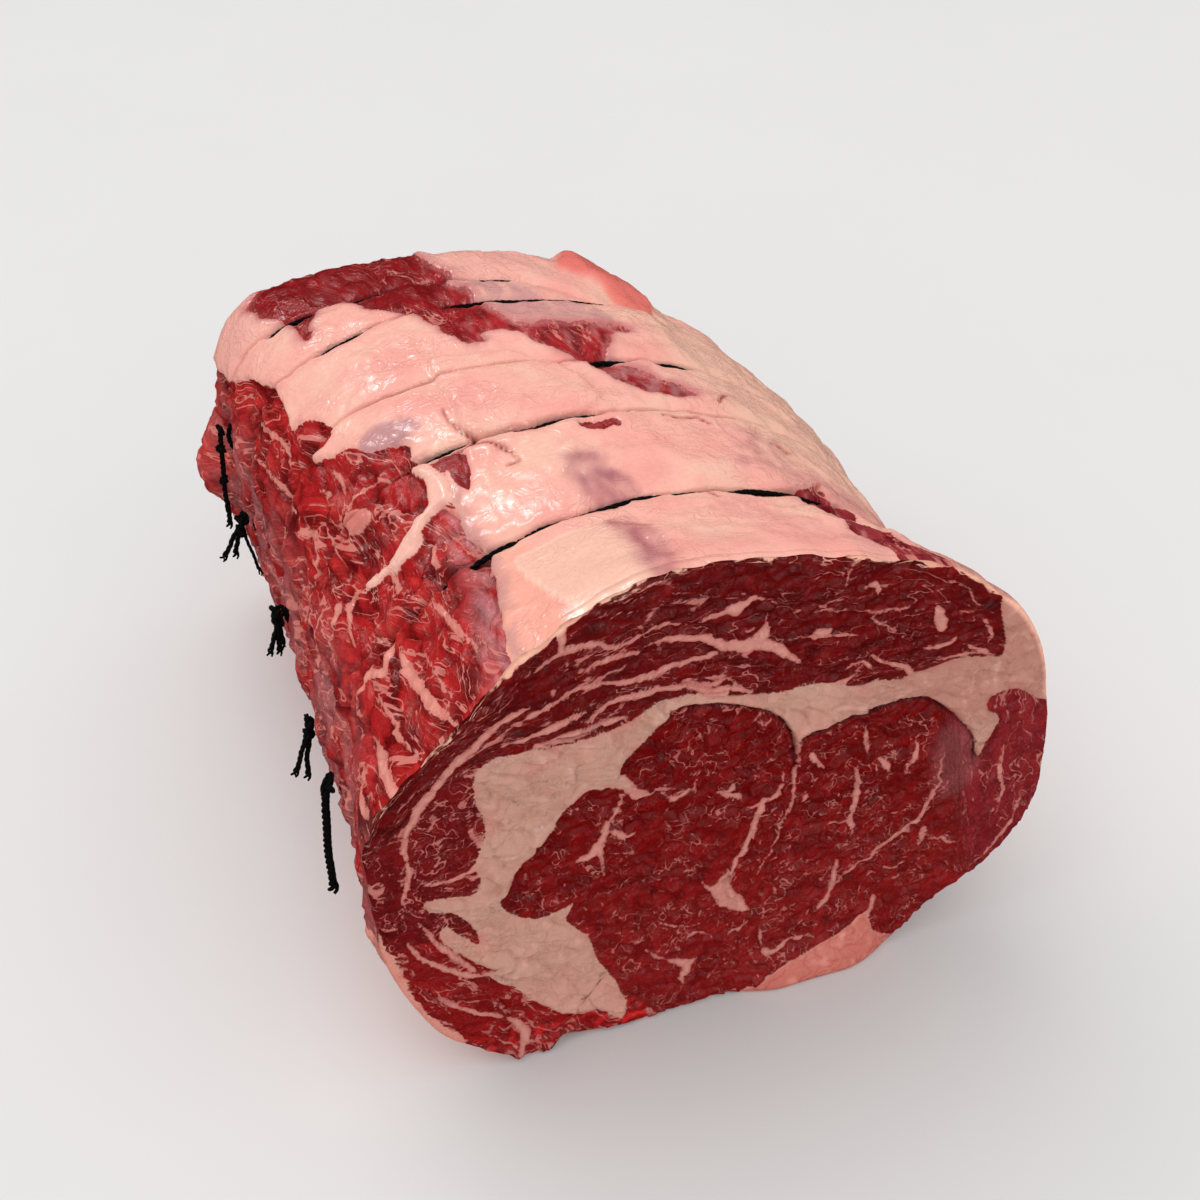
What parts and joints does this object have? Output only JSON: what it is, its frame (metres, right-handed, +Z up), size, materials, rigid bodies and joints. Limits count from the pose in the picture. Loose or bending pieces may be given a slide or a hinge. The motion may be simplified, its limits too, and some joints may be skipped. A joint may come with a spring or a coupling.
{
  "type": "raw beef rib roast",
  "caption": "Boneless raw rib roast tied across with black butcher's twine, one end cut flat to show the rib eye, a pale fat cap on top and a flat underside to rest on.",
  "frame": {"origin": "on the flat underside, half way along the roast, under the middle of its width at the front cut face", "axes": "+Z up; +Y along the roast, away from the cut face that shows the rib eye; +X to the right of someone who looks at that cut face"},
  "size_m": [0.1965, 0.226, 0.1559],
  "materials": {
    "meat": "moist raw beef: dark red lean with pale marbling on the cut face, pale pink fat cap on top",
    "twine": "black twisted cotton twine, matt"
  },
  "bodies": {
    "root": {"roast": "meat", "twine_1": "twine", "twine_2": "twine", "twine_3": "twine", "twine_4": "twine", "twine_5": "twine"}
  },
  "joints": []
}
